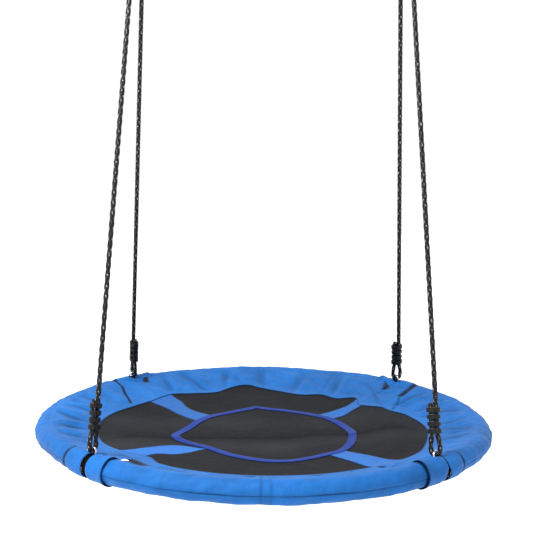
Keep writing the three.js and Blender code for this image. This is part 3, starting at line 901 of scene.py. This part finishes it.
def cover_roll(middle, azimuth):
    """A quarter's roll, out and under from the skirt, with its seam's angles and its bulges."""
    turn = np.radians(azimuth)
    around = np.linspace(3, 360, ROLL_ROWS)[:, None]
    section = TANGENT - np.radians(around)
    bulge = 1.1 * MM * ripple(RING * turn, section * 0.05, 131 + middle, 0.11)
    bulge = bulge + 0.7 * MM * ripple(RING * turn, section * 0.03, 157 + middle, 0.035)
    seam = np.degrees((section + math.pi) % (2 * math.pi) - math.pi)
    groove = hump(seam, -2, 3)
    lip = step(seam, -2, 3) * (1 - step(seam, 10, 40))
    tuck = step(around, 300, 352)
    radius = ROLL + bulge * step(around, 0, 30) - 1.4 * MM * groove + 0.6 * MM * lip - 2.2 * MM * tuck
    return on_frame(turn, radius, section), seam, bulge


def skirt_shade(gathers, crumples):
    """Painted shade in a skirt's fold valleys and crumple hollows, and its dark hem line, which is hem
    stitching and painted shadow where the skirt meets the mat.
    """
    # painted shade in the valleys of the gathers and crumples
    shade = 0.5 * np.clip(-gathers / (3 * MM), 0, 1) + 0.12 * np.clip(-crumples, 0, 1)
    # hem line: its stitching and painted shadow over the mat
    shade[0] = 0.75
    shade[1] = 0.25
    return shade


def roll_shade(offset, azimuth, seam, bulge):
    """Darkness of a roll's outer seam line, painted shade in its hollows, and beside the flaps a dark
    band that is painted shadow of their edges and the dark lining that shows under the loose ones.
    """
    open_seam = hump(azimuth, -101, 8) + hump(azimuth, -75, 9)
    shade = (0.65 + 0.35 * open_seam) * hump(seam, -2, 1.8 + 1.3 * open_seam)
    # painted shade in the hollows between the roll's bulges
    shade = shade + 0.12 * np.clip(-bulge / MM, 0, 1)
    # painted shadow along the flaps' edges, where the dark lining also shows under the loose ones
    beside_flap = hump(HALF_QUARTER - np.abs(offset), 6.6, 0.45, 4)
    return np.maximum(shade, 0.95 * beside_flap)


def cover_grid(name):
    """A quarter cover's points, which of its faces to keep, and its drawn shade."""
    offset = np.linspace(COVER_GAP - HALF_QUARTER, HALF_QUARTER - COVER_GAP, COVER_COLUMNS)[None, :]
    azimuth = QUARTERS[name] + offset
    skirt, gathers, crumples = cover_skirt(name, offset, azimuth)
    roll, seam, bulge = cover_roll(QUARTERS[name], azimuth)
    grid = np.concatenate([skirt, roll])
    rows = len(skirt)
    reach = np.hypot(grid[..., 0], grid[..., 1])
    upper = (grid[..., 2] > 0) | (np.arange(len(grid)) < rows)[:, None]
    from_middle = np.abs(offset[0, 1:] + offset[0, :-1]) / 2
    keep = np.ones((len(grid) - 1, len(from_middle)), bool)
    keep[rows - 1] = from_middle < SKIRT_JOIN_END[name]
    keep[rows:] = from_middle < ROLL_END
    keep &= ~(slot_opening(azimuth, reach) & upper)[:-1, :-1]
    shade = np.concatenate([skirt_shade(gathers, crumples), roll_shade(offset, azimuth, seam, bulge)])
    # painted shade of the slots and patch edges, on the skirt and on the roll's upper side
    shade = np.maximum(shade, skirt_shade_marks(azimuth, reach) * upper)
    # dark seam lines, and painted shade along the back's creases
    for place, strength in SEAM_AND_CREASE_LINES:
        shade = np.maximum(shade, strength * hump(azimuth, place, 0.33))
    return grid, keep, shade


def make_covers():
    for name in QUARTERS:
        grid, keep, shade = cover_grid(name)
        cover = sheet(f"seat_cover_{name}", lift(grid), THICK["cover"], shade, keep)
        dress(cover, "seat", "cover_fabric", f"cover_{name}")


def make_core():
    """The foam and tube that show through the slots."""
    for name, middle in QUARTERS.items():
        angles = np.radians(np.linspace(middle - FOAM_END, middle + FOAM_END, 60))
        foam = sweep(f"foam_roll_{name}", lift(on_frame(angles, 0, 0)), circle(FOAM, 32))
        dress(foam, "seat", "foam", f"foam_sleeve_{name}")
        paint(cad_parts[f"frame_tube_{name}"], "steel_tube")


def slit(name, section):
    """Half width in metres of the opening along a flap, for angles round the tube in degrees."""
    ring_hole = RING_HOLE * hump(section, 104, 9, 4)
    inner, start, outer = SLITS[name]
    plain = inner + (outer - inner) * (1 - step(section, start - 35, start + 5))
    closed = step(section, -112, -96) * (1 - step(section, 116, 132))
    return np.maximum(plain, ring_hole) * closed * MM


def flap_half(name, sx, sy, hand):
    """Half a flap, from its slit to its end; the half on the clockwise side has hand -1."""
    section = np.linspace(168, -168, 84)[:, None]
    gap = slit(name, section)
    half = FLAP_LONG.get((name, hand), FLAP_HALF)
    shift = SLIT_SHIFT.get(name, 0)
    share = np.linspace(0, 1, 22)[None, :] ** 0.8
    reach = hand * (gap + (half - hand * shift - gap) * share) + shift
    angle = math.atan2(sy, sx) + reach / RING
    around = np.radians(section)
    away = np.abs(reach) / half
    radius = FLAP + 0.5 * MM * ripple(reach, around * 0.03, 71 + len(name) + hand, 0.05)
    radius = radius - 0.9 * MM * (1 - step(away, 0.02, 0.25)) * (gap > 0.0003)
    if hand * sx * sy > 0:
        radius = radius + 2.2 * MM * step(away, 0.70, 1.0)
    else:
        radius = radius - 1.6 * MM * step(away, 0.86, 1.0)
    grid = on_frame(angle, radius, around)
    return grid[:, ::-1] if hand < 0 else grid


def make_flap(name, sx, sy):
    """A sewn patch wrapped round the roll, open along its middle for the strap."""
    halves = []
    for index, hand in enumerate((-1, 1)):
        grid = flap_half(name, sx, sy, hand)
        shade = np.zeros(grid.shape[:2])
        # a dark line along each end of the flap: stitching at the sewn end and painted shadow at the
        # loose end
        shade[:, 0 if hand < 0 else -1] = 0.8
        halves.append(sheet(f"strap_flap_{name}_{index}", lift(grid), THICK["flap"], shade))
    flap = join(*halves)
    flap.name = f"strap_flap_{name}"
    dress(flap, "seat", "cover_fabric", f"wrap_flap_{name}")


def strap_outline(thick):
    """Outline in mm of a strap that goes round the tube and over the steel ring's lowest part."""
    radius = STRAP_RADIUS + thick
    points = []
    for i in range(64):
        a = math.radians(90 + 360 * (i + 0.5) / 64)
        lifted = hump(math.degrees(a), 90, 22) + hump(math.degrees(a), 450, 22)
        across = radius * math.cos(a) * (1 - 0.55 * lifted)
        points.append((across, min(radius * math.sin(a), STRAP_TOP + thick)))
    return points


def make_strap(name, sx, sy):
    inner, outer = strap_outline(0), strap_outline(STRAP_THICK)
    shift = STRAP_SHIFT.get(name, 0)
    place = (Matrix.Rotation(math.atan2(sy, sx), 4, "Z") @ Matrix.Translation((RING, shift, SEAT_Z))
             @ Matrix.Rotation(-LEAN * 0.5, 4, "Y"))
    rings = ((inner, -STRAP_HALF), (outer, -STRAP_HALF), (outer, STRAP_HALF), (inner, STRAP_HALF))
    points = [place @ Vector((x * MM, y, z * MM)) for shape, y in rings for x, z in shape]
    count = len(outer)
    uvs = []
    for ring in range(4):
        across = (ring in (1, 2)) * 0.002 + (ring > 1) * 2 * STRAP_HALF
        uvs += [(across, i / count * 0.12) for i in range(count)]
    strap = make_object(f"ring_strap_{name}", points, tube_faces(4, count, True), uvs)
    dress(strap, "seat", "webbing", f"webbing_loop_{name}")


def torus_path(radius, count=72):
    angles = np.linspace(0, 2 * math.pi, count, endpoint=False)
    return np.stack([np.cos(angles), np.zeros(count), np.sin(angles)], axis=1) * radius


def make_welded_ring(name, radius, wire, matrix, body, node, look=None):
    """A steel ring with the small swelling of its weld."""
    path = [tuple(matrix @ Vector(p)) for p in torus_path(radius)]
    axis = matrix.to_3x3() @ Vector((0, 1, 0))
    ring = sweep(name, path, circle(wire, 20), closed=True, up=tuple(axis))
    weld = matrix @ Vector((radius * math.cos(0.9), 0, radius * math.sin(0.9)))
    reach = 2.2 * wire
    for vertex in ring.data.vertices:
        away = vertex.co - weld
        if away.length < reach:
            vertex.co += away.normalized() * wire * 0.10 * (1 - away.length / reach)
    return dress(ring, body, "zinc_steel", node, look=look)


def make_rings():
    for side, sx, end, sy in CORNERS:
        name = f"{side}_{end}"
        azimuth = math.atan2(sy, sx)
        twist = math.radians(LOOP_AZIMUTH[name]) - azimuth
        matrix = (Matrix.Rotation(azimuth, 4, "Z") @ Matrix.Translation((RING, 0, SEAT_Z))
                  @ Matrix.Rotation(-LEAN, 4, "Y") @ Matrix.Translation((0, 0, O_RING_SEAT + O_RING))
                  @ Matrix.Rotation(twist - math.pi / 2, 4, "Z"))
        make_welded_ring(f"steel_ring_{name}", O_RING, WIRE, matrix, "seat", f"seat_ring_{name}")
    for side, sx in SIDES:
        matrix = Matrix.Translation((sx * TOP_X, 0, TOP_Z)) @ Matrix.Rotation(math.pi / 2, 4, "Z")
        make_welded_ring(f"hanging_ring_{side}", TOP_RING, TOP_WIRE, matrix, "top_rings",
                         f"top_ring_{side}", look="hook_steel")


def plan_curve(points, count, closed=False):
    """A smooth plan curve through given points in mm, read at an even spacing, in metres."""
    points = [np.array([x, y, 0.0]) * MM for x, y in points]
    if closed:
        points = points + points[:1]
    return at_even_steps(centripetal(points, 1 * MM), count, closed)[:, :2]


def on_cloth(plan, above):
    z = cloth_height(plan[..., 0], plan[..., 1]) + above
    return np.concatenate([plan, z[..., None]], axis=-1)


def make_mat():
    azimuth = np.linspace(-180, 180, 300, endpoint=False)[None, :]
    share = np.linspace(1.0, 0.006, 110)[:, None]
    turn = np.radians(azimuth)
    r = (skirt_radius(azimuth) + MAT_TUCK) * share
    x, y = r * np.cos(turn), r * np.sin(turn)
    grid = on_cloth(np.stack([x, y], axis=2), 0)
    fold = y - smooth(x / MM, FOLD) * MM
    # painted light and shade on the mat: lighter bands in front of and behind the fold, and painted
    # shadow along its crease
    light = hump(fold, -0.045, 0.05) + 0.7 * hump(fold, 0.13, 0.06)
    crease_shadow = crease(fold, 0.004, 0.045) * (1 - step(np.hypot(x, y), 0.3, 0.36))
    shade = 0.42 * (1 - light) + 0.5 * crease_shadow
    mat = sheet("seat_cloth", lift(grid[::-1]), THICK["mat"], shade[::-1], ring=True)
    cap_centre(mat, grid.shape[1], grid.shape[0])
    dress(mat, "seat", "mat_fabric", "seat_mat")


def cap_centre(obj, columns, rows):
    """Closes the small hole at the middle of a polar sheet."""
    mesh = bmesh.new()
    mesh.from_mesh(obj.data)
    mesh.verts.ensure_lookup_table()
    upper = [mesh.verts[j] for j in range(columns)]
    lower = [mesh.verts[rows * columns + j] for j in range(columns)]
    around = set(upper) | set(lower)
    rim = [face for face in mesh.faces if around.issuperset(face.verts)]
    bmesh.ops.delete(mesh, geom=rim, context="FACES_ONLY")
    mesh.faces.new(upper[::-1]).smooth = True
    mesh.faces.new(lower).smooth = True
    bmesh.ops.recalc_face_normals(mesh, faces=mesh.faces)
    mesh.to_mesh(obj.data)
    mesh.free()


def make_tape():
    outer = plan_curve(TAPE_EDGE, 360, closed=True)
    tangent = np.roll(outer, -1, 0) - np.roll(outer, 1, 0)
    tangent /= np.linalg.norm(tangent, axis=1, keepdims=True)
    inward = np.stack([-tangent[:, 1], tangent[:, 0]], axis=1)
    share = np.linspace(0, 1, 7)[:, None, None]
    plan = outer[None] + inward[None] * share * TAPE_WIDTH
    crown = 0.5 * MM * np.sin(math.pi * share[..., 0])
    grid = on_cloth(plan, 2.3 * MM + crown)
    shade = np.zeros(grid.shape[:2])
    shade[0] = shade[-1] = 0.5
    tape = sheet("centre_ring_tape", lift(grid), THICK["tape"], shade, ring=True)
    fix_normals(tape)
    dress(tape, "seat", "tape_fabric", "centre_tape")


def make_bands():
    for name, (first, second) in BAND_EDGES.items():
        a = plan_curve(first, 60)
        b = plan_curve(second, 60)
        share = np.linspace(0, 1, 15)[:, None, None]
        plan = a[None] * (1 - share) + b[None] * share
        grid = on_cloth(plan, 1.2 * MM)
        shade = np.full(grid.shape[:2], BAND_SHADE[name])
        # painted shade along the bands' edges, where their undersides show
        shade[0] = shade[-1] = 0.75
        band = sheet(f"diagonal_band_cloth_{name}", lift(grid), THICK["band"], shade)
        fix_normals(band)
        dress(band, "seat", "band_fabric", f"diagonal_band_{name}")


# ---- snap hooks ----

def hook_points():
    """The hook's bent bar, from the gate's pin round the rings' end and the beam's end to its nose."""
    low = [(HOOK_HALF * math.cos(math.pi * i / 24), HOOK_HALF - HOOK_HALF * math.sin(math.pi * i / 24))
           for i in range(25)]
    high = [(-x, HOOK_LONG - z) for x, z in low]
    return [(HOOK_HALF, HOOK_START), *low, *high, (HOOK_HALF, HOOK_NOSE)]


def make_hook(side, sx, place):
    """The hook's bar, with the two cheeks of the fork that holds the gate."""
    path = [tuple(place @ Vector((sx * x, 0, z))) for x, z in hook_points()]
    hook = sweep(f"snap_hook_body_{side}", path, circle(BAR, 20), up=(0, 1, 0))
    middle, pin = sx * HOOK_HALF / MM, HOOK_PIN / MM
    for hand in (-1, 1):
        y0, y1 = sorted(hand * y for y in CHEEK)
        cheek = block(middle - CHEEK_HALF, middle + CHEEK_HALF, y0, y1, pin - CHEEK_LOW, pin + CHEEK_HIGH)
        hook = join(hook, gather(f"fork_{side}_{hand}", [cheek], place))
    bevelled(hook, 0.5 * MM, 3)
    hook.data.polygons.foreach_set("use_smooth", [True] * len(hook.data.polygons))
    dress(hook, "hangers", "zinc_steel", f"snap_hook_{side}", look="hook_steel")


def make_gate(side, sx, place):
    """The gate, rounded at its foot to turn in its fork, and its pin."""
    foot = place @ Vector((sx * HOOK_HALF, 0, GATE_LOW))
    top = place @ Vector((sx * HOOK_HALF, 0, GATE_HIGH))
    steps = np.linspace(0, 1, 60)[:, None]
    line = np.array(foot) * (1 - steps) + np.array(top) * steps
    taper = 0.5 + 0.5 * np.sqrt(np.minimum(1, steps / 0.09))
    gate = sweep(f"hook_gate_bar_{side}", line, circle(GATE, 20), up=(0, 1, 0), scale=taper)
    dress(gate, f"{side}_gate", "zinc_steel", f"hook_gate_{side}", look="hook_steel")
    paint(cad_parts[f"gate_pin_{side}"], "zinc_steel")


# ---- studio ----

def make_studio():
    world = bpy.data.worlds.new("studio")
    world.use_nodes = True
    background = world.node_tree.nodes["Background"].inputs
    background["Color"].default_value = (1, 1, 1, 1)
    background["Strength"].default_value = WORLD_LIGHT
    bpy.context.scene.world = world
    bpy.context.scene.view_settings.view_transform = "Standard"
    corners = [(-1, -1), (1, -1), (1, 1), (-1, 1)]
    floor = make_object("studio_floor", [(FLOOR_HALF * x, FLOOR_HALF * y, 0) for x, y in corners],
                        [[0, 1, 2, 3]])
    floor.location.z = SEAT_Z - FLOOR_DROP
    floor.data.materials.append(floor_material())
    for name, place, size, energy in LIGHTS:
        data = bpy.data.lights.new(name, "AREA")
        data.shape = "SQUARE"
        data.size = size
        data.energy = energy
        lamp = bpy.data.objects.new(name, data)
        lamp.location = (place[0], place[1], SEAT_Z + place[2])
        aim = Vector((0, 0, SEAT_Z)) - lamp.location
        lamp.rotation_euler = aim.to_track_quat("-Z", "Y").to_euler()
        bpy.context.scene.collection.objects.link(lamp)


make_camera()
make_ropes()
make_core()
make_covers()
for side, sx, end, sy in CORNERS:
    make_flap(f"{side}_{end}", sx, sy)
    make_strap(f"{side}_{end}", sx, sy)
make_mat()
make_tape()
make_bands()
make_rings()
for side, sx in SIDES:
    hook_place = Matrix.Translation((sx * TOP_X, 0, HOOK_Z))
    make_hook(side, sx, hook_place)
    make_gate(side, sx, hook_place)
make_studio()
